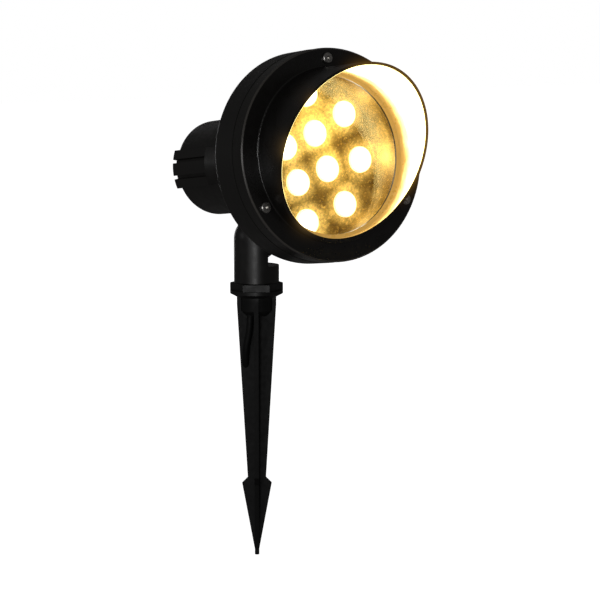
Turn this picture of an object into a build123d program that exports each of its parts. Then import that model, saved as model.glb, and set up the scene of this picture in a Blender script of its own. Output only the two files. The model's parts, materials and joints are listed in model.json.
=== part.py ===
"""Garden spike spotlight: a round LED head on a ball-ended knuckle, standing on a ground spike.

Millimetres. +Z is up, the origin is on the spike's axis at the soil line, where the blades
meet the collar, and the head shines towards -Y.
"""
from math import cos, degrees, radians, sin, sqrt, tan
import os

from build123d import *

# ---------------------------------------------------------------- stance
HEAD_TILT = 7.0           # the head's aim above level, as it stands
SPIKE_TURN = -33.0        # the blades' turn about the spike's axis, against the head

# ---------------------------------------------------------------- ground spike
COLLAR_FLATS = 36.0       # across the flats of the hexagonal collar
COLLAR_TOP = 11.4
FLANGE_TOP = 5.4          # foot of the flats; the collar is round under them
FLANGE_CONE = 2.8         # height of the cone under the flange
COLLAR_CHAMFER = 0.6
BLADE_WIDTH = 30.9        # across two opposite blades, at the soil line
BLADE_STRAIGHT = 6.0      # depth at which the taper starts
BLADE_THICKNESS = 3.5
BARB_NECK_WIDTH = 14.4
BARB_NECK_DEPTH = 144.5
BARB_WIDTH = 23.4
BARB_DROP = 4.5           # slope of the barb's shoulder
TIP_DEPTH = 207.0
TIP_WIDTH = 1.8
HUB_RADIUS = 12.4
HUB_DEPTH = 11.0
HUB_CONE = 4.0            # height of the hub's conical end
HUB_END_RADIUS = 8.4
NIPPLE_BORE_DEPTH = 8.6   # foot of the nipple's bore, below the soil line
CHAMBER_RADIUS = 9.4      # the lead's chamber under that bore
CHAMBER_DEPTH = 12.4
BLADE_CLEARANCE = 0.15    # round the lead, where it goes through one blade

# ---------------------------------------------------------------- threaded nipple and post
NIPPLE_RADIUS = 10.4
NIPPLE_BORE = 7.6
NIPPLE_TOP = 17.0
NIPPLE_FOOT = -3.0
THREAD_CLEARANCE = 0.06
POST_RADIUS = 17.7
POST_GAP = 0.2            # running gap between the post's foot and the collar
POST_BORE_TOP = 21.8
LEDGE_Z = 25.0            # where the full post becomes half a knuckle
SEAL_GROOVE_INSET = 3.8   # from the post's wall in to the foot's seal
SEAL_GROOVE_WIDTH = 2.4
SEAL_GROOVE_DEPTH = 1.8
SEAL_WIDTH = 2.2

# ---------------------------------------------------------------- knuckle
PIVOT_Z = 46.0
KNUCKLE_GAP = 0.5         # between the faces of the two halves
CHANNEL_INNER = 5.8       # ring-shaped lead channel round the pivot screw
CHANNEL_INSET = 5.1       # from the post's wall in to that channel
CHANNEL_DEPTH = 7.4
KNUCKLE_SEAL_INSET = 2.9  # from the post's wall in to the joint's seal
KNUCKLE_SEAL_WIDTH = 1.8
KNUCKLE_SEAL_DEPTH = 1.0
SCREW_RADIUS = 3.0        # M6 pivot screw
SCREW_CLEARANCE = 0.08
SCREW_HEAD_RADIUS = 5.0
SCREW_HEAD_HEIGHT = 6.0
SCREW_REACH = 12.0        # thread in the post's half, from the joint plane
SCREW_SEAT = 9.9          # floor of the head's counterbore, from the joint plane
COUNTERBORE_RADIUS = 5.9
WASHER_RADIUS = 5.6
WASHER_THICKNESS = 1.0
SPRING_WASHER_THICKNESS = 1.4
HEX_SOCKET_FLATS = 5.0

# ---------------------------------------------------------------- lead
LEAD_RADIUS = 2.7
LEAD_CLEARANCE = 0.35
LEAD_X = 4.5              # the lead's offset from the joint plane, in either half
LEAD_Y = 4.0              # its offset behind the pivot, where it runs up and down
CORE_RADIUS = 0.9
CORE_COUNT = 3
CORE_SPREAD = 1.25
CORE_LENGTH = 13.0
COPPER_RADIUS = 0.5
COPPER_LENGTH = 6.0

LEAD_JOIN_Z = 7.5         # where the lead's post stretch and spike stretch meet, inside the nipple
LEAD_JOIN_GAP = 0.5
LOOP_TOP = 7.8            # the post stretch ends this far above the pivot, in the lug's channel
LOOP_INSET = 2.9          # from the channel's outer wall, where the lead crosses from half to half
SUPPLY_ROUTE = [          # right, back and up, in the blades' frame
    (0.0, 0.0, 7.5),
    (0.0, 0.0, -1.0),
    (-5.0, -5.0, -13.5),
    (-5.3, -5.7, -26.0),
    (-8.2, -6.2, -39.0),
    (-8.6, -2.4, -50.0),
    (-8.4, 4.2, -61.0),
    (-7.7, 11.0, -74.0),
    (-6.4, 16.0, -90.0),
    (-4.4, 18.6, -110.0),
    (-2.6, 18.4, -133.0),
    (-1.4, 16.4, -155.0),
    (-0.8, 14.6, -176.0),
]

# ---------------------------------------------------------------- head, along its own axis
AXIS_HEIGHT = 58.2        # from the pivot up to the head's axis, square to that axis
PIVOT_BACK = 116.5        # from the pivot forward to the front ring's face
WALL = 3.5
DRUM_OVERHANG = 0.25      # the drum stands proud of the ring
DRUM_DEPTH = 37.6         # from the ring's face back to the drum's shoulder
BACK_DEPTH = 50.0         # from the ring's face back to the flat behind the boards
BACK_SLOPE = 20.25        # width of the dished band round that flat
SHOULDER_FILLET = 3.0
CAN_RADIUS = 37.4
CAN_WALL = 3.2
CAN_END = 169.4
CAN_FILLET = 2.5
RIB_HEIGHT = 3.8          # cooling ribs on both flanks of the can
RIB_LENGTH = 50.0
RIB_RAMP = 16.0
RIB_EDGE = 1.0
RIB_ARC = 43.0            # degrees that a patch of three ribs takes
RIB_GROOVE = 3.0
RIB_STEP = 18.0           # degrees from groove to groove
SPIGOT_WALL = 3.3

# ---------------------------------------------------------------- front ring and hood
RING_RADIUS = 80.0        # the drum, the glass and the tray follow it
RING_DEPTH = 13.0
RING_SEAM = 0.2
RING_CHAMFER = 0.8
RING_PLATE = 7.0
RING_SKIRT = 3.05         # wall of the skirt over the drum's spigot
SKIRT_CLEARANCE = 0.25
LIP_WIDTH = 3.0           # the lip that holds the glass, inside the hood's bore
LIP_FRONT = 2.7
LIP_BACK = 4.7
POCKET_INSET = 12.7       # from the ring's edge in to the glass's pocket
HOOD_INSET = 17.8         # and in to the hood's bore
HOOD_BASE_WALL = 3.4
HOOD_RIM_WALL = 2.3
HOOD_HIGH = 55.7          # the slanted rim above the ring's face, at the top
HOOD_LOW = 1.6            # and at the bottom
HOOD_FILLET = 1.2
CUT_REACH = 100.0         # how far the cutter of the slanted rim reaches
GLASS_THICKNESS = 4.0
GASKET_LEG = 0.5
GASKET_SIDE = 0.7         # its thickness round the glass's edge
GASKET_CLEARANCE = 0.2
GASKET_SETBACK = 2.4      # from the lip's edge out to the gasket's
RING_GASKET_THICKNESS = 0.6
RING_SCREW_INSET = 7.8    # from the ring's edge in to its screws
RING_SCREW_COUNT = 3
RING_SCREW_RADIUS = 2.0
RING_SCREW_HEAD = 4.0
RING_SCREW_HEAD_HEIGHT = 2.5
RING_SCREW_LENGTH = 18.0
RING_SCREW_SEAT = 0.5     # the spot-face in the ring
RING_SOCKET_FLATS = 2.5
RING_BOSS_RADIUS = 4.4
RING_BOSS_LENGTH = 22.0

# ---------------------------------------------------------------- light engine
LENS_MARGIN = 4.9         # from the outer lenses to the tray's wall
OUTER_COUNT = 8
OUTER_START = -3.8
INNER_CIRCLE_RADIUS = 20.4
INNER_COUNT = 4
INNER_START = 63.7
LENS_RADIUS = 10.0
LENS_FRONT = 37.3
LENS_RIM = 1.8
LENS_FOOT_RADIUS = 5.2
TRAY_SETBACK = 2.1        # from the gasket's inner edge out to the tray's wall
TRAY_WALL = 1.2
TRAY_FLOOR = 38.6
TRAY_HOLE_CLEARANCE = 0.3
BOARD_MARGIN = 7.2        # the board past the outer lenses' circle
BOARD_THICKNESS = 1.6
CHIP_SIDE = 3.5
CHIP_HEIGHT = 1.2
PILLAR_MARGIN = 4.3       # from the can's bore out to the pillars' circle
PILLAR_COUNT = 4
PILLAR_START = 18.7
PILLAR_RADIUS = 3.4
BOARD_SCREW_START = 63.7
SMALL_SCREW_RADIUS = 1.5
SMALL_HEAD_RADIUS = 2.9
SMALL_HEAD_HEIGHT = 1.8
SMALL_SCREW_LENGTH = 4.8
SMALL_SOCKET = 2.0

# ---------------------------------------------------------------- driver bay in the can
SHELF_Y = -14.0           # the shelves' upper faces, below the head's axis
SHELF_THICKNESS = 3.0
SHELF_GAP = 27.0          # open middle between the two shelves
SHELF_FRONT = 56.0
SHELF_BACK = 158.0
DRIVER_WIDTH = 40.0
DRIVER_HEIGHT = 34.0
DRIVER_LENGTH = 56.0
DRIVER_FRONT = 95.0
DRIVER_TAB = 9.0
DRIVER_SCREW_X = 16.5
DRIVER_TAB_THICKNESS = 2.4
TERMINAL_WIDTH = 34.0
TERMINAL_LENGTH = 14.0
TERMINAL_HEIGHT = 11.0
TERMINAL_FRONT = 60.0
TERMINAL_POLES = 3
TERMINAL_PITCH = 9.0
TERMINAL_WELL = 2.4
TERMINAL_SCREW_PLAY = 0.05
TERMINAL_SCREW_HEIGHT = 3.6
TERMINAL_SLOT = 0.6
EARTH_TAG = 0.8
EARTH_MARGIN = 10.2       # from the can's wall in to the earth screw, at the axis
EARTH_FRONT = 70.0
WIRE_RADIUS = 1.0
WIRE_LEAD_OUT = 8.0       # straight run of the board's wires from the driver
WIRE_BEND = 30.0          # where they have fanned out, ahead of the driver
WIRE_PITCH = 10.0         # between them at the driver
WIRE_FAN = 16.0           # and at the board
WIRE_HEIGHT = 5.0         # above the head's axis at the driver
WIRE_DROP = 2.0           # lower at the board
GROMMET_RADIUS = 5.0
GROMMET_FLANGE_RADIUS = 6.6
GROMMET_FLANGE = 1.6
GROMMET_NECK = 3.0
GROMMET_SINK = 0.8        # depth of the flange's seat in the can's floor

# ---------------------------------------------------------------- frames and shared places
tilt = radians(HEAD_TILT)
forward = Vector(0, -cos(tilt), sin(tilt))
upward = Vector(0, sin(tilt), cos(tilt))
pivot = Vector(0, 0, PIVOT_Z)
ring_centre = pivot + upward * AXIS_HEIGHT + forward * PIVOT_BACK

front = Plane(origin=ring_centre, x_dir=(1, 0, 0), z_dir=forward)
profile_plane = Plane(origin=ring_centre, x_dir=upward, z_dir=(-1, 0, 0))  # (radius, depth)
head_axis = Axis(ring_centre, forward)
lug_plane = Plane(origin=pivot, x_dir=(1, 0, 0), z_dir=upward)

spike_plane = Plane(origin=(0, 0, 0), x_dir=(cos(radians(SPIKE_TURN)), sin(radians(SPIKE_TURN)), 0),
                    z_dir=(0, 0, 1))

lug_face = Plane(origin=(KNUCKLE_GAP / 2, 0, PIVOT_Z), x_dir=(0, 1, 0), z_dir=(1, 0, 0))
shelf_plane = Plane(origin=ring_centre + upward * SHELF_Y, x_dir=(1, 0, 0), z_dir=upward)  # (across, depth)

channel_outer = POST_RADIUS - CHANNEL_INSET
loop_radius = channel_outer - LOOP_INSET
knuckle_seal_radius = POST_RADIUS - KNUCKLE_SEAL_INSET
seal_groove_radius = POST_RADIUS - SEAL_GROOVE_INSET

drum_radius = RING_RADIUS + DRUM_OVERHANG
back_flat_radius = drum_radius - BACK_SLOPE
spigot_radius = RING_RADIUS - RING_SKIRT - SKIRT_CLEARANCE
spigot_bore = spigot_radius - SPIGOT_WALL
ring_screw_circle = RING_RADIUS - RING_SCREW_INSET
pocket_radius = RING_RADIUS - POCKET_INSET
hood_bore = RING_RADIUS - HOOD_INSET
hood_base_radius = hood_bore + HOOD_BASE_WALL
hood_rim_radius = hood_bore + HOOD_RIM_WALL
lip_radius = hood_bore - LIP_WIDTH
gasket_outer = pocket_radius - GASKET_CLEARANCE
gasket_inner = lip_radius + GASKET_SETBACK
glass_radius = gasket_outer - GASKET_SIDE
tray_bore = gasket_inner + TRAY_SETBACK
tray_flange_radius = pocket_radius
outer_circle = tray_bore - LENS_RADIUS - LENS_MARGIN
board_radius = outer_circle + BOARD_MARGIN

floor_depth = BACK_DEPTH - WALL
board_front = floor_depth - BOARD_THICKNESS
tray_back = TRAY_FLOOR + TRAY_WALL
can_bore = CAN_RADIUS - CAN_WALL
pillar_circle = can_bore + PILLAR_MARGIN
drum_bore = drum_radius - WALL
back_slope = (BACK_DEPTH - DRUM_DEPTH) / BACK_SLOPE
cone_wall = WALL * sqrt(1 + back_slope**2)         # the dished back's wall, measured along the axis
floor_radius = drum_radius - (floor_depth - DRUM_DEPTH + cone_wall) / back_slope
glass_front = LIP_BACK + GASKET_LEG
glass_back = glass_front + GLASS_THICKNESS
gasket_back = glass_back + GASKET_LEG
half_gap = KNUCKLE_GAP / 2
spigot_front = RING_PLATE + RING_GASKET_THICKNESS
can_floor_height = AXIS_HEIGHT - can_bore          # above the pivot, square to the head's axis
grommet_seat = can_floor_height - GROMMET_SINK
earth_x = can_bore - EARTH_MARGIN
earth_place = (earth_x, EARTH_FRONT)
led_rings = [(outer_circle, OUTER_COUNT, OUTER_START), (INNER_CIRCLE_RADIUS, INNER_COUNT, INNER_START)]
driver_screw_places = [
    (across * DRIVER_SCREW_X, depth)
    for across in (-1, 1)
    for depth in (DRIVER_FRONT - DRIVER_TAB / 2, DRIVER_FRONT + DRIVER_LENGTH + DRIVER_TAB / 2)
]

os.makedirs("parts", exist_ok=True)


def behind(depth):
    """The plane square to the head's axis, this far behind the ring's face."""
    return front.offset(-depth)


def head_point(x, height, depth):
    """A point given across, above and behind the centre of the ring's face."""
    return ring_centre + Vector(x, 0, 0) + upward * height - forward * depth


def spike_point(right, back, z):
    """A point given in the blades' own frame."""
    return spike_plane.from_local_coords(Vector(right, back, z))


def inner_back_depth(radius):
    """Depth of the dished back's inner face, this far from the head's axis."""
    return DRUM_DEPTH + back_slope * (drum_radius - radius) - cone_wall


def rim_point(height, rise):
    """A point above the head's axis and in front of the ring's face, as (Y, Z)."""
    point = head_point(0, height, -rise)
    return (point.Y, point.Z)


def finish(part, name):
    """Label a finished piece and write it."""
    part.label = name
    export_step(part, f"parts/{name}.step")


def corner_radii(points):
    """The largest even bend at each corner: 0.45 of its shorter run over the half turn's tangent."""
    radii = []
    for before, corner, after in zip(points, points[1:], points[2:]):
        shorter = min((corner - before).length, (after - corner).length)
        half_turn = radians((corner - before).get_angle(after - corner)) / 2
        radii.append(0.45 * shorter / tan(half_turn))
    return radii


def tube_along(points, radius):
    """A round tube along straight runs joined by tangent arcs."""
    with BuildPart() as tube:
        with BuildLine() as path:
            FilletPolyline(*points, radius=corner_radii(points))
        with BuildSketch(Plane(origin=path.line @ 0, z_dir=path.line % 0)):
            Circle(radius)
        sweep(path=path.line)
    return tube.part


def socket_screw(seat, shank_radius, length, head_radius, head_height, socket_flats):
    """A socket screw whose head stands on the seat plane, its shank below it."""
    with BuildPart() as screw:
        with BuildSketch(seat):
            Circle(head_radius)
        extrude(amount=head_height)
        head_rim = screw.edges().sort_by(Axis(seat.origin, seat.z_dir))[-1]
        chamfer(head_rim, length=head_height / 5)
        with BuildSketch(seat):
            Circle(shank_radius)
        extrude(amount=-length)
        with BuildSketch(seat.offset(head_height)):
            RegularPolygon(socket_flats / 2, 6, major_radius=False)
        extrude(amount=-head_height * 0.6, mode=Mode.SUBTRACT)
    return screw.part


def small_screw(seat, length):
    """One of the machine screws inside the head."""
    return socket_screw(seat, SMALL_SCREW_RADIUS, length, SMALL_HEAD_RADIUS, SMALL_HEAD_HEIGHT, SMALL_SOCKET)


def ring_profile(points):
    """A closed outline in radius and depth, to be turned round the head's axis."""
    with BuildSketch(profile_plane) as outline:
        with BuildLine():
            Polyline(*points, close=True)
        make_face()
    return outline.sketch


def core_points(spread):
    """One core from the sheath's end: level with its neighbours at first, then fanned out."""
    fanned = spread * 2 + Vector(0, 0, CORE_LENGTH)
    return [spread, spread + Vector(0, 0, CORE_LENGTH / 3), fanned]


# ================================================================ the lead's routes
supply_route = [spike_point(*point) for point in SUPPLY_ROUTE]
post_route = [
    Vector(0, 0, LEAD_JOIN_Z + LEAD_JOIN_GAP),
    Vector(0, 0, NIPPLE_TOP - 3),
    Vector(-LEAD_X, LEAD_Y + 0.6, LEDGE_Z + 2),
    Vector(-LEAD_X, LEAD_Y + 2.1, PIVOT_Z - LOOP_TOP),
    Vector(0, loop_radius, PIVOT_Z),
    Vector(LEAD_X, LEAD_Y + 2.1, PIVOT_Z + LOOP_TOP),
]
terminal_back = TERMINAL_FRONT + TERMINAL_LENGTH
core_height = SHELF_Y + 5
driver_wire_height = SHELF_Y + 8
sheath_depth = terminal_back + 5.5
sheath_height = SHELF_Y + 4
core_ends = [
    [
        head_point(0, core_height, terminal_back + 2.5),
        head_point(0, core_height, terminal_back),
    ],
    [
        head_point(-TERMINAL_PITCH, core_height, terminal_back + 4),
        head_point(-TERMINAL_PITCH, core_height, terminal_back),
    ],
    [
        head_point(TERMINAL_PITCH, core_height, sheath_depth + 1),
        head_point(earth_x, SHELF_Y + 4, EARTH_FRONT + 12),
        head_point(earth_x, SHELF_Y + EARTH_TAG + CORE_RADIUS + 0.1, EARTH_FRONT + 5),
    ],
]
head_route = [
    lug_plane.from_local_coords(Vector(LEAD_X, LEAD_Y, channel_outer - 0.1)),
    head_point(LEAD_X, SHELF_Y - 8.5, PIVOT_BACK + LEAD_Y),
    head_point(LEAD_X / 2, SHELF_Y - 7, PIVOT_BACK - 19),
    head_point(0, SHELF_Y - 5, terminal_back + 12),
    head_point(0, sheath_height, sheath_depth),
]

# ================================================================ ground spike
blade_outline = [
    (0, 0),
    (BLADE_WIDTH / 2, 0),
    (BLADE_WIDTH / 2, -BLADE_STRAIGHT),
    (BARB_NECK_WIDTH / 2, -BARB_NECK_DEPTH),
    (BARB_WIDTH / 2, -BARB_NECK_DEPTH - BARB_DROP),
    (TIP_WIDTH / 2, -TIP_DEPTH),
    (0, -TIP_DEPTH),
]
blade_planes = [
    Plane(origin=(0, 0, 0), x_dir=across, z_dir=across.cross(Vector(0, 0, 1)))
    for across in (spike_plane.x_dir, spike_plane.y_dir)
]

with BuildPart() as ground_spike:
    # the hexagonal collar, on a round flange with a cone under it
    with BuildSketch(spike_plane.offset(FLANGE_TOP)):
        RegularPolygon(COLLAR_FLATS / 2, 6, major_radius=False)
    extrude(amount=COLLAR_TOP - FLANGE_TOP)
    collar_rim = ground_spike.faces().sort_by(Axis.Z)[-1].edges()
    chamfer(collar_rim, length=COLLAR_CHAMFER)
    collar_corner = COLLAR_FLATS / 2 / cos(radians(30))
    with BuildSketch(Plane.XZ):
        with BuildLine():
            Polyline(
                (0, 0),
                (BLADE_WIDTH / 2, 0),
                (collar_corner, FLANGE_CONE),
                (collar_corner, FLANGE_TOP),
                (0, FLANGE_TOP),
                close=True,
            )
        make_face()
    revolve(axis=Axis.Z)
    # four blades, crossing at the axis
    for blade_plane in blade_planes:
        with BuildSketch(blade_plane):
            with BuildLine():
                Polyline(*blade_outline, close=True)
            make_face()
            mirror(about=Plane.YZ)
        extrude(amount=BLADE_THICKNESS / 2, both=True)
    # the hub between the blades, with its conical end
    with BuildSketch(Plane.XZ):
        with BuildLine():
            Polyline(
                (0, 0),
                (HUB_RADIUS, 0),
                (HUB_RADIUS, -HUB_DEPTH),
                (HUB_END_RADIUS, -HUB_DEPTH - HUB_CONE),
                (0, -HUB_DEPTH - HUB_CONE),
                close=True,
            )
        make_face()
    revolve(axis=Axis.Z)
    # the bore for the nipple, the chamber under it and the lead's way out
    with BuildSketch(spike_plane.offset(COLLAR_TOP)):
        Circle(NIPPLE_RADIUS + THREAD_CLEARANCE)
    extrude(amount=-COLLAR_TOP - NIPPLE_BORE_DEPTH, mode=Mode.SUBTRACT)
    with BuildSketch(spike_plane):
        Circle(CHAMBER_RADIUS)
    extrude(amount=-CHAMBER_DEPTH, mode=Mode.SUBTRACT)
    add(tube_along(supply_route[:4], LEAD_RADIUS + LEAD_CLEARANCE), mode=Mode.SUBTRACT)
    # the hole that passes the lead through to the back of the blade
    add(tube_along(supply_route[3:8], LEAD_RADIUS + BLADE_CLEARANCE), mode=Mode.SUBTRACT)
finish(ground_spike.part, "ground_spike")

# ================================================================ nipple and post
with BuildPart() as threaded_nipple:
    with BuildSketch(Plane.XY.offset(NIPPLE_FOOT)):
        Circle(NIPPLE_RADIUS)
        Circle(NIPPLE_BORE, mode=Mode.SUBTRACT)
    extrude(amount=NIPPLE_TOP - NIPPLE_FOOT)
    nipple_rims = threaded_nipple.edges().filter_by(GeomType.CIRCLE).group_by(SortBy.RADIUS)[-1]
    chamfer(nipple_rims, length=0.6)
finish(threaded_nipple.part, "threaded_nipple")

post_foot = COLLAR_TOP + POST_GAP

with BuildPart() as knuckle_post:
    # a full post up to the ledge, then half of it up to the pivot, ending in half a ball
    with BuildSketch(Plane.XY.offset(post_foot)):
        Circle(POST_RADIUS)
    extrude(amount=PIVOT_Z - post_foot)
    with Locations(pivot):
        Sphere(POST_RADIUS)
    with BuildSketch(Plane.XY.offset(LEDGE_Z)):
        with Locations((-KNUCKLE_GAP / 2, 0)):
            Rectangle(2 * POST_RADIUS, 3 * POST_RADIUS, align=(Align.MIN, Align.CENTER))
    extrude(amount=PIVOT_Z + POST_RADIUS, mode=Mode.SUBTRACT)
    # bore for the nipple, and a groove for the foot's seal
    with BuildSketch(Plane.XY.offset(post_foot)):
        Circle(NIPPLE_RADIUS + THREAD_CLEARANCE)
    extrude(amount=POST_BORE_TOP - post_foot, mode=Mode.SUBTRACT)
    with BuildSketch(Plane.XY.offset(post_foot)):
        Circle(seal_groove_radius + SEAL_GROOVE_WIDTH / 2)
        Circle(seal_groove_radius - SEAL_GROOVE_WIDTH / 2, mode=Mode.SUBTRACT)
    extrude(amount=SEAL_GROOVE_DEPTH, mode=Mode.SUBTRACT)
    # the joint face: lead channel, seal groove and the screw's thread
    joint_face = Plane(origin=(-KNUCKLE_GAP / 2, 0, PIVOT_Z), x_dir=(0, 1, 0), z_dir=(1, 0, 0))
    with BuildSketch(joint_face):
        Circle(channel_outer)
        Circle(CHANNEL_INNER, mode=Mode.SUBTRACT)
    extrude(amount=-CHANNEL_DEPTH, mode=Mode.SUBTRACT)
    with BuildSketch(joint_face):
        Circle(knuckle_seal_radius + KNUCKLE_SEAL_WIDTH / 2)
        Circle(knuckle_seal_radius - KNUCKLE_SEAL_WIDTH / 2, mode=Mode.SUBTRACT)
    extrude(amount=-KNUCKLE_SEAL_DEPTH, mode=Mode.SUBTRACT)
    with BuildSketch(joint_face):
        Circle(SCREW_RADIUS + SCREW_CLEARANCE)
    extrude(amount=-SCREW_REACH, mode=Mode.SUBTRACT)
    # the lead's way up from the post's bore into the channel
    add(tube_along(post_route, LEAD_RADIUS + LEAD_CLEARANCE), mode=Mode.SUBTRACT)
finish(knuckle_post.part, "knuckle_post")

with BuildPart() as post_seal:
    with BuildSketch(Plane.XY.offset(post_foot)):
        Circle(seal_groove_radius + SEAL_WIDTH / 2)
        Circle(seal_groove_radius - SEAL_WIDTH / 2, mode=Mode.SUBTRACT)
    extrude(amount=SEAL_GROOVE_DEPTH)
    fillet(post_seal.edges(), radius=SEAL_GROOVE_DEPTH / 3)
finish(post_seal.part, "post_seal")

with BuildPart() as knuckle_seal:
    with BuildSketch(joint_face):
        Circle(knuckle_seal_radius + KNUCKLE_SEAL_WIDTH / 2)
        Circle(knuckle_seal_radius - KNUCKLE_SEAL_WIDTH / 2, mode=Mode.SUBTRACT)
    extrude(amount=-KNUCKLE_SEAL_DEPTH)
finish(knuckle_seal.part, "knuckle_seal")

# ================================================================ pivot screw and its washers
screw_seat = SCREW_SEAT + WASHER_THICKNESS + SPRING_WASHER_THICKNESS
screw_plane = Plane(origin=(screw_seat, 0, PIVOT_Z), x_dir=(0, 1, 0), z_dir=(1, 0, 0))
pivot_screw = socket_screw(
    screw_plane,
    SCREW_RADIUS,
    screw_seat + SCREW_REACH,
    SCREW_HEAD_RADIUS,
    SCREW_HEAD_HEIGHT,
    HEX_SOCKET_FLATS,
)
finish(pivot_screw, "pivot_screw")

with BuildPart() as pivot_washer:
    with BuildSketch(screw_plane.offset(-SPRING_WASHER_THICKNESS)):
        Circle(WASHER_RADIUS)
        Circle(SCREW_RADIUS + SCREW_CLEARANCE, mode=Mode.SUBTRACT)
    extrude(amount=-WASHER_THICKNESS)
finish(pivot_washer.part, "pivot_washer")

with BuildPart() as spring_washer:
    with BuildSketch(screw_plane):
        Circle(SCREW_HEAD_RADIUS)
        Circle(SCREW_RADIUS + SCREW_CLEARANCE, mode=Mode.SUBTRACT)
        with Locations((SCREW_HEAD_RADIUS, 0)):
            Rectangle(2 * SCREW_HEAD_RADIUS, 0.8, mode=Mode.SUBTRACT)
    extrude(amount=-SPRING_WASHER_THICKNESS)
finish(spring_washer.part, "spring_washer")

# ================================================================ head housing
with BuildPart() as lug:
    with BuildSketch(lug_plane):
        Circle(POST_RADIUS)
    extrude(amount=AXIS_HEIGHT - sqrt(CAN_RADIUS**2 - POST_RADIUS**2) + 1)
    with Locations(pivot):
        Sphere(POST_RADIUS)
    with BuildSketch(lug_face):
        Rectangle(4 * POST_RADIUS, 6 * POST_RADIUS)
    extrude(amount=-2 * POST_RADIUS, mode=Mode.SUBTRACT)

rib_radius = CAN_RADIUS + RIB_HEIGHT
groove_arc = degrees(RIB_GROOVE / rib_radius)

with BuildPart() as rib_patch:
    add(ring_profile([
        (can_bore + CAN_WALL / 2, CAN_END - CAN_FILLET),
        (CAN_RADIUS, CAN_END),
        (rib_radius - RIB_EDGE, CAN_END),
        (rib_radius, CAN_END - RIB_EDGE),
        (rib_radius, CAN_END - RIB_LENGTH),
        (can_bore + CAN_WALL / 2, CAN_END - RIB_LENGTH - RIB_RAMP),
    ]))
    revolve(axis=head_axis, revolution_arc=RIB_ARC)

with BuildPart() as rib_groove:
    add(ring_profile([
        (CAN_RADIUS, CAN_END + 1),
        (rib_radius + 1, CAN_END + 1),
        (rib_radius + 1, CAN_END - RIB_LENGTH),
        (rib_radius, CAN_END - RIB_LENGTH),
        (CAN_RADIUS, CAN_END - RIB_LENGTH + RIB_HEIGHT),
    ]))
    revolve(axis=head_axis, revolution_arc=groove_arc)

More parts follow.
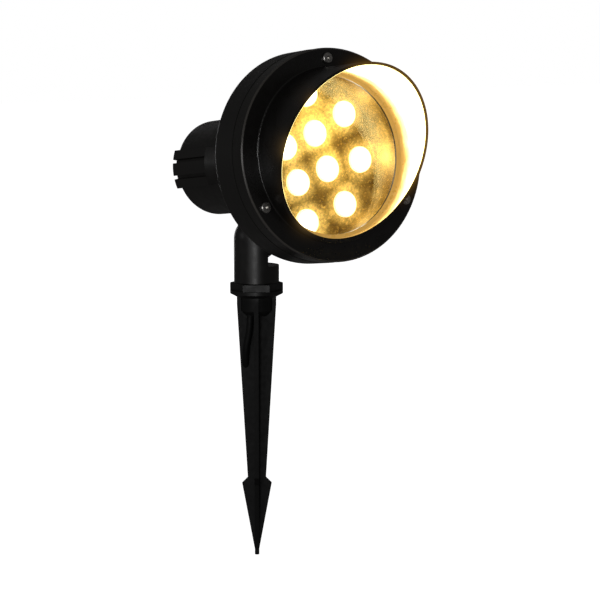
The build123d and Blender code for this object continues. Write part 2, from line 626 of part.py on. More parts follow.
with BuildPart() as head_housing:
    # drum, dished back and rear can
    add(ring_profile([
        (0, spigot_front),
        (spigot_radius, spigot_front),
        (spigot_radius, RING_DEPTH + RING_SEAM),
        (drum_radius, RING_DEPTH + RING_SEAM),
        (drum_radius, DRUM_DEPTH),
        (back_flat_radius, BACK_DEPTH),
        (CAN_RADIUS, BACK_DEPTH),
        (CAN_RADIUS, CAN_END),
        (0, CAN_END),
    ]))
    revolve(axis=head_axis)
    rounds = head_housing.edges().filter_by(GeomType.CIRCLE)
    shoulder = rounds.filter_by(lambda edge: abs(edge.radius - drum_radius) < 0.01).sort_by(head_axis)[0]
    can_rim = rounds.sort_by(head_axis)[0]
    fillet(shoulder, radius=SHOULDER_FILLET)
    fillet(can_rim, radius=CAN_FILLET)
    # three cooling ribs on either flank of the can
    for flank in (90, -90):
        add(rib_patch.part.rotate(head_axis, flank - RIB_ARC / 2))
        for groove in (-RIB_STEP / 2, RIB_STEP / 2):
            turn = flank + groove - groove_arc / 2
            add(rib_groove.part.rotate(head_axis, turn), mode=Mode.SUBTRACT)
    # half of the knuckle hangs under the can
    add(lug.part)
    # the hollow of drum and can
    add(ring_profile([
        (0, 0),
        (spigot_bore, 0),
        (spigot_bore, RING_DEPTH + RING_SEAM + WALL),
        (drum_bore, RING_DEPTH + RING_SEAM + WALL),
        (drum_bore, inner_back_depth(drum_bore)),
        (floor_radius, floor_depth),
        (can_bore, floor_depth),
        (can_bore, CAN_END - CAN_WALL),
        (0, CAN_END - CAN_WALL),
    ]))
    revolve(axis=head_axis, mode=Mode.SUBTRACT)
    # bosses for the ring's screws, behind the spigot
    with BuildSketch(behind(spigot_front)):
        with PolarLocations(ring_screw_circle, RING_SCREW_COUNT, start_angle=90):
            Circle(RING_BOSS_RADIUS)
    extrude(amount=-RING_BOSS_LENGTH)
    with BuildSketch(behind(spigot_front)):
        with PolarLocations(ring_screw_circle, RING_SCREW_COUNT, start_angle=90):
            Circle(RING_SCREW_RADIUS + THREAD_CLEARANCE)
    extrude(amount=-RING_SCREW_LENGTH, mode=Mode.SUBTRACT)
    # pillars that carry the tray, and the holes for its screws and the board's
    with BuildSketch(behind(floor_depth)):
        with PolarLocations(pillar_circle, PILLAR_COUNT, start_angle=PILLAR_START):
            Circle(PILLAR_RADIUS)
    extrude(amount=floor_depth - tray_back)
    with BuildSketch(behind(tray_back)):
        with PolarLocations(pillar_circle, PILLAR_COUNT, start_angle=PILLAR_START):
            Circle(SMALL_SCREW_RADIUS + THREAD_CLEARANCE)
    extrude(amount=-SMALL_SCREW_LENGTH, mode=Mode.SUBTRACT)
    with BuildSketch(behind(floor_depth)):
        with PolarLocations(pillar_circle, PILLAR_COUNT, start_angle=BOARD_SCREW_START):
            Circle(SMALL_SCREW_RADIUS + THREAD_CLEARANCE)
    extrude(amount=BOARD_THICKNESS - SMALL_SCREW_LENGTH, mode=Mode.SUBTRACT)
    # two shelves along the can, for the driver and the terminal block
    with BuildSketch(behind(SHELF_FRONT)):
        Circle(can_bore + CAN_WALL / 2)
        with Locations((0, SHELF_Y)):
            Rectangle(2 * CAN_RADIUS, SHELF_THICKNESS, align=(Align.CENTER, Align.MAX), mode=Mode.INTERSECT)
            Rectangle(SHELF_GAP, 3 * SHELF_THICKNESS, mode=Mode.SUBTRACT)
    extrude(amount=SHELF_FRONT - SHELF_BACK)
    with BuildSketch(shelf_plane):
        with Locations(*driver_screw_places, earth_place):
            Circle(SMALL_SCREW_RADIUS + THREAD_CLEARANCE)
    extrude(amount=-SHELF_THICKNESS, mode=Mode.SUBTRACT)
    # the joint face: lead channel, the pivot screw's hole and its counterbore
    with BuildSketch(lug_face):
        Circle(channel_outer)
        Circle(CHANNEL_INNER, mode=Mode.SUBTRACT)
    extrude(amount=CHANNEL_DEPTH, mode=Mode.SUBTRACT)
    with BuildSketch(lug_face):
        Circle(SCREW_RADIUS + SCREW_CLEARANCE)
    extrude(amount=POST_RADIUS, mode=Mode.SUBTRACT)
    with BuildSketch(Plane(origin=(SCREW_SEAT, 0, PIVOT_Z), x_dir=(0, 1, 0), z_dir=(1, 0, 0))):
        Circle(COUNTERBORE_RADIUS)
    extrude(amount=POST_RADIUS, mode=Mode.SUBTRACT)
    # the lead's way up into the can, with a seat for its grommet
    with BuildSketch(lug_plane.offset(CHANNEL_INNER)):
        with Locations((LEAD_X, LEAD_Y)):
            Circle(LEAD_RADIUS + LEAD_CLEARANCE)
    extrude(amount=can_floor_height - CHANNEL_INNER, mode=Mode.SUBTRACT)
    with BuildSketch(lug_plane.offset(grommet_seat - GROMMET_NECK)):
        with Locations((LEAD_X, LEAD_Y)):
            Circle(GROMMET_RADIUS)
    extrude(amount=GROMMET_NECK, mode=Mode.SUBTRACT)
    with BuildSketch(lug_plane.offset(grommet_seat)):
        with Locations((LEAD_X, LEAD_Y)):
            Circle(GROMMET_FLANGE_RADIUS + THREAD_CLEARANCE)
    extrude(amount=GROMMET_FLANGE + 1, mode=Mode.SUBTRACT)
finish(head_housing.part, "head_housing")

# ================================================================ front ring with its hood
with BuildPart() as front_ring:
    add(ring_profile([
        (lip_radius, LIP_FRONT),
        (hood_bore, LIP_FRONT),
        (hood_bore, -HOOD_HIGH),
        (hood_rim_radius, -HOOD_HIGH),
        (hood_base_radius, 0),
        (RING_RADIUS, 0),
        (RING_RADIUS, RING_DEPTH),
        (spigot_radius + SKIRT_CLEARANCE, RING_DEPTH),
        (spigot_radius + SKIRT_CLEARANCE, RING_PLATE),
        (pocket_radius, RING_PLATE),
        (pocket_radius, LIP_BACK),
        (lip_radius, LIP_BACK),
    ]))
    revolve(axis=head_axis)
    circles = front_ring.edges().filter_by(GeomType.CIRCLE)
    front_edge = circles.filter_by(lambda edge: abs(edge.radius - RING_RADIUS) < 0.01).sort_by(head_axis)[-1]
    hood_root = circles.filter_by(lambda edge: abs(edge.radius - hood_base_radius) < 0.01)[0]
    chamfer(front_edge, length=RING_CHAMFER)
    fillet(hood_root, radius=HOOD_FILLET)
    # the rim is cut slantwise: high over the lamp, nearly down to the ring below it
    with BuildSketch(Plane.YZ):
        with BuildLine():
            Polyline(
                rim_point(-CUT_REACH, HOOD_LOW),
                rim_point(-hood_bore, HOOD_LOW),
                rim_point(hood_bore, HOOD_HIGH),
                rim_point(CUT_REACH, HOOD_HIGH),
                rim_point(CUT_REACH, HOOD_HIGH + CUT_REACH),
                rim_point(-CUT_REACH, HOOD_HIGH + CUT_REACH),
                close=True,
            )
        make_face()
    extrude(amount=CUT_REACH, both=True, mode=Mode.SUBTRACT)
    with BuildSketch(behind(0)):
        with PolarLocations(ring_screw_circle, RING_SCREW_COUNT, start_angle=90):
            Circle(RING_SCREW_RADIUS + 2 * THREAD_CLEARANCE)
    extrude(amount=-RING_PLATE, mode=Mode.SUBTRACT)
    with BuildSketch(behind(0)):
        with PolarLocations(ring_screw_circle, RING_SCREW_COUNT, start_angle=90):
            Circle(RING_SCREW_HEAD + 2 * THREAD_CLEARANCE)
    extrude(amount=-RING_SCREW_SEAT, mode=Mode.SUBTRACT)
finish(front_ring.part, "front_ring")

with BuildPart() as ring_screws:
    for place in PolarLocations(ring_screw_circle, RING_SCREW_COUNT, start_angle=90):
        seat = Plane(behind(RING_SCREW_SEAT).location * place)
        add(socket_screw(
            seat,
            RING_SCREW_RADIUS,
            RING_SCREW_LENGTH,
            RING_SCREW_HEAD,
            RING_SCREW_HEAD_HEIGHT,
            RING_SOCKET_FLATS,
        ))
finish(ring_screws.part, "ring_screws")

with BuildPart() as ring_gasket:
    with BuildSketch(behind(RING_PLATE)):
        Circle(spigot_radius)
        Circle(spigot_bore, mode=Mode.SUBTRACT)
        with PolarLocations(ring_screw_circle, RING_SCREW_COUNT, start_angle=90):
            Circle(RING_BOSS_RADIUS)
            Circle(RING_SCREW_RADIUS + 2 * THREAD_CLEARANCE, mode=Mode.SUBTRACT)
    extrude(amount=-RING_GASKET_THICKNESS)
finish(ring_gasket.part, "ring_gasket")

with BuildPart() as front_glass:
    with BuildSketch(behind(glass_front)):
        Circle(glass_radius)
    extrude(amount=-GLASS_THICKNESS)
finish(front_glass.part, "front_glass")

with BuildPart() as glass_gasket:
    add(ring_profile([
        (gasket_inner, LIP_BACK),
        (gasket_outer, LIP_BACK),
        (gasket_outer, gasket_back),
        (gasket_inner, gasket_back),
        (gasket_inner, glass_back),
        (glass_radius, glass_back),
        (glass_radius, glass_front),
        (gasket_inner, glass_front),
    ]))
    revolve(axis=head_axis)
finish(glass_gasket.part, "glass_gasket")

# ================================================================ light engine
with BuildPart() as reflector_tray:
    add(ring_profile([
        (0, TRAY_FLOOR),
        (tray_bore, TRAY_FLOOR),
        (tray_bore, gasket_back),
        (tray_flange_radius, gasket_back),
        (tray_flange_radius, gasket_back + TRAY_WALL),
        (tray_bore + TRAY_WALL, gasket_back + TRAY_WALL),
        (tray_bore + TRAY_WALL, tray_back),
        (0, tray_back),
    ]))
    revolve(axis=head_axis)
    with BuildSketch(behind(TRAY_FLOOR)):
        for circle, count, start in led_rings:
            with PolarLocations(circle, count, start_angle=start):
                Circle(LENS_RADIUS + TRAY_HOLE_CLEARANCE)
        with PolarLocations(pillar_circle, PILLAR_COUNT, start_angle=PILLAR_START):
            Circle(SMALL_SCREW_RADIUS + THREAD_CLEARANCE)
    extrude(amount=-TRAY_WALL, mode=Mode.SUBTRACT)
finish(reflector_tray.part, "reflector_tray")

with BuildPart() as led_lenses:
    for circle, count, start in led_rings:
        for place in PolarLocations(circle, count, start_angle=start):
            lens_plane = Plane(behind(LENS_FRONT + LENS_RIM).location * place)
            with BuildSketch(lens_plane):
                Circle(LENS_RADIUS)
            extrude(amount=LENS_RIM)
            with BuildSketch(lens_plane):
                Circle(LENS_RADIUS)
            with BuildSketch(lens_plane.offset(LENS_FRONT + LENS_RIM - board_front)):
                Circle(LENS_FOOT_RADIUS)
            loft()
            with BuildSketch(lens_plane.offset(LENS_FRONT + LENS_RIM - board_front)):
                Circle(CHIP_SIDE)
            extrude(amount=CHIP_HEIGHT + 1, mode=Mode.SUBTRACT)
finish(led_lenses.part, "led_lenses")

with BuildPart() as led_chips:
    with BuildSketch(behind(board_front)):
        for circle, count, start in led_rings:
            with PolarLocations(circle, count, start_angle=start):
                Rectangle(CHIP_SIDE, CHIP_SIDE)
    extrude(amount=CHIP_HEIGHT)
finish(led_chips.part, "led_chips")

with BuildPart() as led_board:
    with BuildSketch(behind(board_front)):
        Circle(board_radius)
        with PolarLocations(pillar_circle, PILLAR_COUNT, start_angle=PILLAR_START):
            Circle(PILLAR_RADIUS + TRAY_HOLE_CLEARANCE, mode=Mode.SUBTRACT)
        with PolarLocations(pillar_circle, PILLAR_COUNT, start_angle=BOARD_SCREW_START):
            Circle(SMALL_SCREW_RADIUS + THREAD_CLEARANCE, mode=Mode.SUBTRACT)
    extrude(amount=-BOARD_THICKNESS)
finish(led_board.part, "led_board")

for name, depth, start in (
    ("tray_screws", TRAY_FLOOR, PILLAR_START),
    ("board_screws", board_front, BOARD_SCREW_START),
):
    with BuildPart() as screws:
        for place in PolarLocations(pillar_circle, PILLAR_COUNT, start_angle=start):
            add(small_screw(Plane(behind(depth).location * place), SMALL_SCREW_LENGTH))
    finish(screws.part, name)

# ================================================================ driver, terminals and earth
with BuildPart() as led_driver:
    with BuildSketch(shelf_plane):
        with Locations((0, DRIVER_FRONT + DRIVER_LENGTH / 2)):
            Rectangle(DRIVER_WIDTH, DRIVER_LENGTH)
    extrude(amount=DRIVER_HEIGHT)
    fillet(led_driver.edges().filter_by(lambda edge: abs(edge.tangent_at(0).dot(forward)) > 0.9)
           .sort_by(Axis(ring_centre, upward))[-2:], radius=4)
    with BuildSketch(shelf_plane):
        with Locations((0, DRIVER_FRONT + DRIVER_LENGTH / 2)):
            Rectangle(DRIVER_WIDTH, DRIVER_LENGTH + 2 * DRIVER_TAB)
        with Locations(*driver_screw_places):
            Circle(SMALL_SCREW_RADIUS + THREAD_CLEARANCE, mode=Mode.SUBTRACT)
    extrude(amount=DRIVER_TAB_THICKNESS)
finish(led_driver.part, "led_driver")

with BuildPart() as driver_screws:
    for place in driver_screw_places:
        seat = Plane(shelf_plane.offset(DRIVER_TAB_THICKNESS).location * Location(place))
        add(small_screw(seat, DRIVER_TAB_THICKNESS + SHELF_THICKNESS))
finish(driver_screws.part, "driver_screws")

with BuildPart() as terminal_block:
    with BuildSketch(shelf_plane):
        with Locations((0, TERMINAL_FRONT + TERMINAL_LENGTH / 2)):
            Rectangle(TERMINAL_WIDTH, TERMINAL_LENGTH)
    extrude(amount=TERMINAL_HEIGHT)
    with BuildSketch(shelf_plane.offset(TERMINAL_HEIGHT)):
        with Locations((0, TERMINAL_FRONT + TERMINAL_LENGTH / 2)):
            with GridLocations(TERMINAL_PITCH, 1, TERMINAL_POLES, 1):
                Circle(TERMINAL_WELL)
    extrude(amount=-TERMINAL_HEIGHT / 2, mode=Mode.SUBTRACT)
finish(terminal_block.part, "terminal_block")

with BuildPart() as terminal_screws:
    with BuildSketch(shelf_plane.offset(TERMINAL_HEIGHT / 2)):
        with Locations((0, TERMINAL_FRONT + TERMINAL_LENGTH / 2)):
            with GridLocations(TERMINAL_PITCH, 1, TERMINAL_POLES, 1):
                Circle(TERMINAL_WELL - TERMINAL_SCREW_PLAY)
    extrude(amount=TERMINAL_SCREW_HEIGHT)
    with BuildSketch(shelf_plane.offset(TERMINAL_HEIGHT / 2 + TERMINAL_SCREW_HEIGHT)):
        with Locations((0, TERMINAL_FRONT + TERMINAL_LENGTH / 2)):
            with GridLocations(TERMINAL_PITCH, 1, TERMINAL_POLES, 1):
                Rectangle(2 * TERMINAL_WELL, TERMINAL_SLOT)
    extrude(amount=-TERMINAL_SCREW_HEIGHT / 3, mode=Mode.SUBTRACT)
finish(terminal_screws.part, "terminal_screws")

with BuildPart() as earth_screw:
    seat = Plane(shelf_plane.offset(EARTH_TAG).location * Location(earth_place))
    add(small_screw(seat, EARTH_TAG + SHELF_THICKNESS))
finish(earth_screw.part, "earth_screw")

with BuildPart() as earth_tag:
    with BuildSketch(shelf_plane):
        with Locations(earth_place):
            Circle(SMALL_HEAD_RADIUS + 0.8)
            Rectangle(3, 8, align=(Align.CENTER, Align.MIN))
            Circle(SMALL_SCREW_RADIUS + THREAD_CLEARANCE, mode=Mode.SUBTRACT)
    extrude(amount=EARTH_TAG)
finish(earth_tag.part, "earth_tag")

with BuildPart() as lead_grommet:
    with BuildSketch(lug_plane.offset(grommet_seat - GROMMET_NECK)):
        with Locations((LEAD_X, LEAD_Y)):
            Circle(GROMMET_RADIUS)
    extrude(amount=GROMMET_NECK)
    with BuildSketch(lug_plane.offset(grommet_seat)):
        with Locations((LEAD_X, LEAD_Y)):
            Circle(GROMMET_FLANGE_RADIUS)
    extrude(amount=GROMMET_FLANGE)
    with BuildSketch(lug_plane.offset(grommet_seat - GROMMET_NECK)):
        with Locations((LEAD_X, LEAD_Y)):
            Circle(LEAD_RADIUS + THREAD_CLEARANCE)
    extrude(amount=GROMMET_NECK + GROMMET_FLANGE, mode=Mode.SUBTRACT)
finish(lead_grommet.part, "lead_grommet")

# ================================================================ the lead, inside and out
finish(tube_along(post_route, LEAD_RADIUS), "lead_in_post")
finish(tube_along(head_route, LEAD_RADIUS), "lead_in_head")
finish(tube_along(supply_route, LEAD_RADIUS), "supply_lead")

# its cores, fanned out where the sheath is stripped, and again at the terminals
strip_end = supply_route[-1]
strip_way = (supply_route[-1] - supply_route[-2]).normalized()
strip_plane = Plane(origin=strip_end, z_dir=strip_way)
with BuildPart() as lead_cores:
    for turn in range(CORE_COUNT):
        spread = Vector(CORE_SPREAD, 0, 0).rotate(Axis.Z, 360 / CORE_COUNT * turn)
        add(tube_along([strip_plane.from_local_coords(p) for p in core_points(spread)], CORE_RADIUS))
finish(lead_cores.part, "lead_cores")

with BuildPart() as lead_strands:
    for turn in range(CORE_COUNT):
        spread = Vector(CORE_SPREAD, 0, 0).rotate(Axis.Z, 360 / CORE_COUNT * turn)
        start, bend, end = [strip_plane.from_local_coords(p) for p in core_points(spread)]
        with BuildSketch(Plane(origin=end, z_dir=end - bend)):
            Circle(COPPER_RADIUS)
        extrude(amount=COPPER_LENGTH)
finish(lead_strands.part, "lead_strands")

sheath_plane = Plane(origin=head_route[-1], z_dir=head_route[-1] - head_route[-2])
with BuildPart() as inner_cores:
    for turn, ends in enumerate(core_ends):
        spread = Vector(0, CORE_SPREAD, 0).rotate(Axis.Z, 360 / CORE_COUNT * turn)
        start = sheath_plane.from_local_coords(spread)
        bend = sheath_plane.from_local_coords(spread + Vector(0, 0, 1.8))
        add(tube_along([start, bend, *ends], CORE_RADIUS))
finish(inner_cores.part, "inner_cores")

with BuildPart() as board_wires:
    for across in (-1, 1):
        add(tube_along([
            head_point(across * WIRE_PITCH / 2, WIRE_HEIGHT, DRIVER_FRONT),
            head_point(across * WIRE_PITCH / 2, WIRE_HEIGHT, DRIVER_FRONT - WIRE_LEAD_OUT),
            head_point(across * WIRE_FAN / 2, WIRE_HEIGHT - WIRE_DROP, DRIVER_FRONT - WIRE_BEND),
            head_point(across * WIRE_FAN / 2, WIRE_HEIGHT - WIRE_DROP, floor_depth),
        ], WIRE_RADIUS))
finish(board_wires.part, "board_wires")

with BuildPart() as driver_wires:
    for across in (-1, 0):
        add(tube_along([
            head_point(across * TERMINAL_PITCH, driver_wire_height, terminal_back),
            head_point(across * TERMINAL_PITCH, driver_wire_height, terminal_back + 5),
            head_point(across * TERMINAL_PITCH - 2, driver_wire_height + 3, DRIVER_FRONT - 6),
            head_point(across * TERMINAL_PITCH - 2, driver_wire_height + 3, DRIVER_FRONT),
        ], WIRE_RADIUS))
finish(driver_wires.part, "driver_wires")

for name, route in (("post", post_route), ("head", head_route), ("supply", supply_route)):
    print(name, "lead corners, mm:", [round(radius, 1) for radius in corner_radii(route)])
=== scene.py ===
"""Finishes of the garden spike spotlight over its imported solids. Metres, in the row's frame."""
import json
from math import cos, pi, radians, sin

import bmesh
import bpy
from mathutils import Matrix, Vector

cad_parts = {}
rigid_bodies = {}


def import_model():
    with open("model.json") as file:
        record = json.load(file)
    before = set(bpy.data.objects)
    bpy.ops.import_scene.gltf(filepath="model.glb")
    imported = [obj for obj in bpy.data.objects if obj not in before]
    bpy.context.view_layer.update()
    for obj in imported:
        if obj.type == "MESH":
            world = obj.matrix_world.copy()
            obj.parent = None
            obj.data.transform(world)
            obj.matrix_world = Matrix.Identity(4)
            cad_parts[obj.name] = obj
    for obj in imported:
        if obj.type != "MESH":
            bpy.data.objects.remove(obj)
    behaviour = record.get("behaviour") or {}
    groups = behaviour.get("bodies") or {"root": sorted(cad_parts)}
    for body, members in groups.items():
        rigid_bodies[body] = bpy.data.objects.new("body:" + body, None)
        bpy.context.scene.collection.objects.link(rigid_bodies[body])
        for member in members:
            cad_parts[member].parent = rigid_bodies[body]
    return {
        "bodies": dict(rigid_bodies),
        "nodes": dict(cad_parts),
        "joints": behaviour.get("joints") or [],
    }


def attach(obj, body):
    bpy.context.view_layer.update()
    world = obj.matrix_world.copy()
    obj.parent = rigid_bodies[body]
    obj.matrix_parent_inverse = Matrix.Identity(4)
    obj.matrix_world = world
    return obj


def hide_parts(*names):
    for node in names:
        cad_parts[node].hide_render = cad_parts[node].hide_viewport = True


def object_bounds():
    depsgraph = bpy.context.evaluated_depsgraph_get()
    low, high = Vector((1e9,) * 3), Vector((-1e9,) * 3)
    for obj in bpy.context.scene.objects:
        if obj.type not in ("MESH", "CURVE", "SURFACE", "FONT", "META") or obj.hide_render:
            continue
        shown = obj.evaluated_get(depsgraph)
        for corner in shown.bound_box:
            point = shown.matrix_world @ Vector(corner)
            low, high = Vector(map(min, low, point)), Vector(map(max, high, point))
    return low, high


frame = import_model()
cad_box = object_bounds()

# ---------------------------------------------------------------- camera, from the photograph
CAMERA_PLACE = Vector((-1.0577, -1.6978, 0.2605))
CAMERA_AIM = Vector((0.5385, 0.8324, -0.1306))
FOCAL_PIXELS = 2566.7
IMAGE_SIDE = 600
SENSOR_WIDTH = 36.0

# ---------------------------------------------------------------- the object's own sizes
HEAD_TILT = radians(7.0)
SPIKE_TURN = radians(-33.0)
AXIS_HEIGHT = 0.0582
PIVOT_BACK = 0.1165
HOOD_BORE = 0.0622
RING_RADIUS = 0.0800
# the ring's outer front edge takes a painted highlight this wide
HIGHLIGHT_WIDTH = 0.0012
LIP_FRONT = 0.0027
BORE_MARGIN = 0.0002      # the hood's inside is told from its black outside with these margins
LIP_MARGIN = 0.0001
GLOW_GOLD_UNTIL = 0.005   # forward of the ring's face, streaks added: painted gold light to here, cream paint under a painted glow past the next
GLOW_CREAM_FROM = 0.025
# painted glow of the lamp's light on the hood's inside: weak and gold by the glass, strong on the cream
# further out
GOLD_GLOW = 0.36
CREAM_GLOW = 2.7
STREAK_GRAIN = 0.012      # the painted gold glow's edge wanders in streaks of this grain, over this reach
STREAK_REACH = 0.010
STREAK_STRETCH = (1, 1, 3)
MATT_BELOW = -0.004       # the spike's plastic turns from matt to satin between these two heights
SATIN_ABOVE = 0.003

OUTER_CIRCLE_RADIUS = 0.0488
OUTER_COUNT = 8
OUTER_START = radians(-3.8)
INNER_CIRCLE_RADIUS = 0.0204
INNER_COUNT = 4
INNER_START = radians(63.7)
LENS_RADIUS = 0.0100
LENS_FOOT_RADIUS = 0.0052
LENS_FRONT = 0.0373
LENS_RIM = 0.0018
LENS_DEPTH = 0.0076       # from the lens's face to the board
CHIP_WELL_RADIUS = 0.0035
CHIP_WELL_DEPTH = 0.0022
LENS_SIDES = 48
SAME_POINT = 0.00001      # points nearer than this are merged
FAINT_RING = 0.78         # share of the lens's radius at which its face shows a faint ring

# ---------------------------------------------------------------- grain of the finishes, in metres
NOISE_LOW = 0.3           # most of a noise's values lie between these two
NOISE_HIGH = 0.7
PAINT_CLOUD = 0.035
PAINT_PATCH = 0.006
PEEL_GRAIN = 0.0011
PEEL_DEPTH = 0.00005
MOULD_FLOW = 0.02
MOULD_STRETCH = (1, 1, 0.35)
MOULD_PATCH = 0.004
MOULD_GRAIN = 0.0007
MOULD_DEPTH = 0.00006
DRAWN_GRAIN = 0.0004
DRAWN_DEPTH = 0.00002
DRAWN_LINES = (1, 6, 1)
DRAWN_RELIEF = (1, 8, 1)
GLASS_HAZE = 0.02
LENS_PATCH = 0.003
CORE_PATCH = 0.002
# the tray's painted shade, its speckle, and its painted glints
TRAY_SHADE = 0.034
TRAY_SPECKLE = 0.0018
TRAY_SPARK = 0.0017
DIMPLE_GRAIN = 0.0022
DIMPLE_DEPTH = 0.0003

# ---------------------------------------------------------------- studio sizes
FLOOR_REACH = 6
FLOOR_GAP = 0.0005
BEAM_SETBACK = 0.002

LEAD_DIAMETER = 0.0054
LEAD_ROUTE = [            # right, back and up, in the blades' frame
    (0.0, 0.0, 0.0075),
    (0.0, 0.0, -0.001),
    (-0.005, -0.005, -0.0135),
    (-0.0053, -0.0057, -0.026),
    (-0.0082, -0.0062, -0.039),
    (-0.0086, -0.0024, -0.050),
    (-0.0084, 0.0042, -0.061),
    (-0.0077, 0.011, -0.074),
    (-0.0064, 0.016, -0.090),
    (-0.0044, 0.0186, -0.110),
    (-0.0026, 0.0184, -0.133),
    (-0.0014, 0.0164, -0.155),
    (-0.0008, 0.0146, -0.176),
]

nodes = frame["nodes"]
scene = bpy.context.scene
tilt_joint = next(joint for joint in frame["joints"] if joint["name"] == "head_tilt")
pivot = Vector(tilt_joint["pos_m"])
forward = Vector((0, -cos(HEAD_TILT), sin(HEAD_TILT)))
upward = Vector((0, sin(HEAD_TILT), cos(HEAD_TILT)))
ring_centre = pivot + upward * AXIS_HEIGHT + forward * PIVOT_BACK
head_turn = (pi / 2 - HEAD_TILT, 0, 0)
head_frame = Matrix.Translation(ring_centre) @ Matrix.Rotation(pi / 2 - HEAD_TILT, 4, "X")


def place_camera():
    """The photograph's viewpoint."""
    data = bpy.data.cameras.new("camera")
    data.sensor_width = SENSOR_WIDTH
    data.lens = FOCAL_PIXELS * SENSOR_WIDTH / IMAGE_SIDE
    data.clip_end = 20
    camera = bpy.data.objects.new("camera", data)
    camera.location = CAMERA_PLACE
    camera.rotation_mode = "QUATERNION"
    camera.rotation_quaternion = CAMERA_AIM.to_track_quat("-Z", "Y")
    scene.collection.objects.link(camera)
    scene.camera = camera


def lead_curve():
    """The supply lead: one smooth line through the hub, past the blade and down behind it."""
    blades = Matrix.Rotation(SPIKE_TURN, 4, "Z")
    curve = bpy.data.curves.new("supply_cord", "CURVE")
    curve.dimensions = "3D"
    line = curve.splines.new("NURBS")
    line.points.add(len(LEAD_ROUTE) - 1)
    for point, place in zip(line.points, LEAD_ROUTE):
        point.co = (*(blades @ Vector(place)), 1)
    line.order_u = 3
    line.use_endpoint_u = True
    line.resolution_u = 12
    curve.bevel_depth = LEAD_DIAMETER / 2
    curve.bevel_resolution = 6
    curve.use_fill_caps = True
    lead = bpy.data.objects.new("supply_cord", curve)
    scene.collection.objects.link(lead)
    return lead, blades @ Vector(LEAD_ROUTE[0])


# ---------------------------------------------------------------- node helpers
def new_material(name):
    """A node material and its main shader."""
    material = bpy.data.materials.new(name)
    material.use_nodes = True
    return material, material.node_tree, material.node_tree.nodes["Principled BSDF"]


def object_coords(tree):
    return tree.nodes.new("ShaderNodeTexCoord").outputs["Object"]


def head_coords(tree):
    """Across, up and forward from the centre of the ring's face."""
    mapping = tree.nodes.new("ShaderNodeMapping")
    mapping.vector_type = "TEXTURE"
    mapping.inputs["Location"].default_value = ring_centre
    mapping.inputs["Rotation"].default_value = head_turn
    tree.links.new(object_coords(tree), mapping.inputs["Vector"])
    return mapping.outputs["Vector"]


def stretched(tree, coords, scale):
    mapping = tree.nodes.new("ShaderNodeMapping")
    mapping.inputs["Scale"].default_value = scale
    tree.links.new(coords, mapping.inputs["Vector"])
    return mapping.outputs["Vector"]


def feed(tree, value, socket):
    """A number goes on the socket, an output is linked to it."""
    if isinstance(value, bpy.types.NodeSocket):
        tree.links.new(value, socket)
    else:
        socket.default_value = value


def noise(tree, coords, grain, detail=3.0):
    """Cloudy noise whose blobs are about one grain, in metres."""
    texture = tree.nodes.new("ShaderNodeTexNoise")
    texture.inputs["Scale"].default_value = 1 / grain
    texture.inputs["Detail"].default_value = detail
    tree.links.new(coords, texture.inputs["Vector"])
    return texture.outputs["Fac"]


def cells(tree, coords, grain):
    """Distance from the middle of dimples about one grain across."""
    texture = tree.nodes.new("ShaderNodeTexVoronoi")
    texture.feature = "SMOOTH_F1"
    texture.inputs["Scale"].default_value = 1 / grain
    tree.links.new(coords, texture.inputs["Vector"])
    return texture.outputs["Distance"]


def maths(tree, operation, first, second=0.0, third=0.0):
    node = tree.nodes.new("ShaderNodeMath")
    node.operation = operation
    feed(tree, first, node.inputs[0])
    feed(tree, second, node.inputs[1])
    feed(tree, third, node.inputs[2])
    return node.outputs["Value"]


def spread(tree, value, low, high, new_low, new_high):
    """value from low..high to new_low..new_high, with soft ends."""
    node = tree.nodes.new("ShaderNodeMapRange")
    node.interpolation_type = "SMOOTHSTEP"
    node.inputs["From Min"].default_value = low
    node.inputs["From Max"].default_value = high
    node.inputs["To Min"].default_value = new_low
    node.inputs["To Max"].default_value = new_high
    tree.links.new(value, node.inputs["Value"])
    return node.outputs["Result"]


def patchy(tree, coords, grain, low, high):
    """Values low to high in patches of about one grain."""
    return spread(tree, noise(tree, coords, grain), NOISE_LOW, NOISE_HIGH, low, high)


def mixed(tree, share, first, second):
    """Two colours mixed by share."""
    node = tree.nodes.new("ShaderNodeMix")
    node.data_type = "RGBA"
    feed(tree, share, node.inputs["Factor"])
    feed(tree, first if isinstance(first, bpy.types.NodeSocket) else (*first, 1), node.inputs[6])
    feed(tree, second if isinstance(second, bpy.types.NodeSocket) else (*second, 1), node.inputs[7])
    return node.outputs[2]


def relief(tree, shader, height, depth, strength):
    """Fine relief of that depth in metres."""
    bump = tree.nodes.new("ShaderNodeBump")
    bump.inputs["Strength"].default_value = strength
    bump.inputs["Distance"].default_value = depth
    tree.links.new(height, bump.inputs["Height"])
    tree.links.new(bump.outputs["Normal"], shader.inputs["Normal"])


def radius_and_height(tree, coords):
    """Distance from the head's axis, and the node that splits a place into its parts."""
    parts = tree.nodes.new("ShaderNodeSeparateXYZ")
    tree.links.new(coords, parts.inputs["Vector"])
    across = maths(tree, "MULTIPLY", parts.outputs["X"], parts.outputs["X"])
    square = maths(tree, "MULTIPLY_ADD", parts.outputs["Y"], parts.outputs["Y"], across)
    return maths(tree, "SQRT", square), parts


def lens_distance(tree, radius, parts, circle, count, start):
    """Distance from the nearest lens centre of one circle of lenses."""
    angle = maths(tree, "ARCTAN2", parts.outputs["Y"], parts.outputs["X"])
    turned = maths(tree, "SUBTRACT", angle, start)
    wrapped = maths(tree, "WRAP", turned, pi / count, -pi / count)
    reach = maths(tree, "MULTIPLY", maths(tree, "COSINE", wrapped), radius)
    square = maths(tree, "MULTIPLY", radius, radius)
    shifted = maths(tree, "MULTIPLY_ADD", reach, -2 * circle, square)
    return maths(tree, "SQRT", maths(tree, "ADD", shifted, circle * circle))
